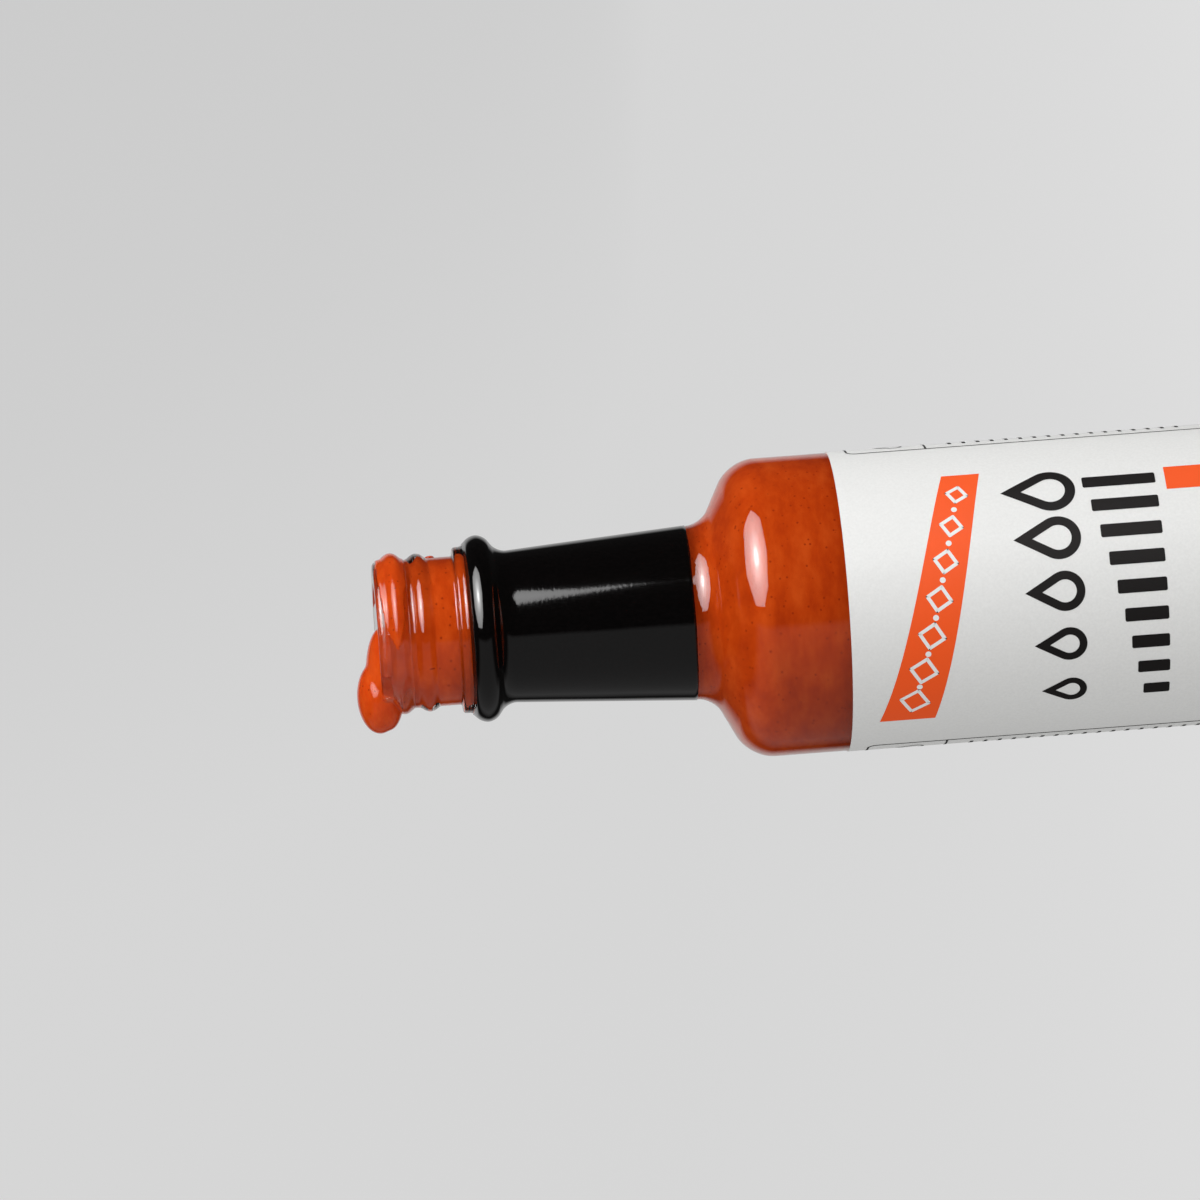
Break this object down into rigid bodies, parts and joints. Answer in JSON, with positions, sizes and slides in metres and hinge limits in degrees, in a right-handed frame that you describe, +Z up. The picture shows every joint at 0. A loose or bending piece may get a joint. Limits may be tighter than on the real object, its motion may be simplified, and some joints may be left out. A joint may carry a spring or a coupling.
{
  "type": "hot sauce bottle",
  "caption": "Slim round glass hot sauce bottle, open and full to its screw mouth, with a dark shrink sleeve on the tapered neck and a paper wrap label",
  "frame": {"origin": "centre of the base, on the surface that the bottle stands on", "axes": "+Z up along the bottle's axis towards the mouth; the front of the label faces -Y; the sauce has run over the lip at -X"},
  "size_m": [0.0462, 0.0462, 0.1737],
  "materials": {
    "flint_glass": "clear, fire polished",
    "chilli_sauce": "wet, opaque, thick",
    "shrink_film": "glossy shrunk film",
    "label_paper": "matte coated paper"
  },
  "bodies": {
    "root": {"glass_bottle": "flint_glass", "sauce": "chilli_sauce", "neck_sleeve": "shrink_film", "label": "label_paper"}
  },
  "joints": []
}
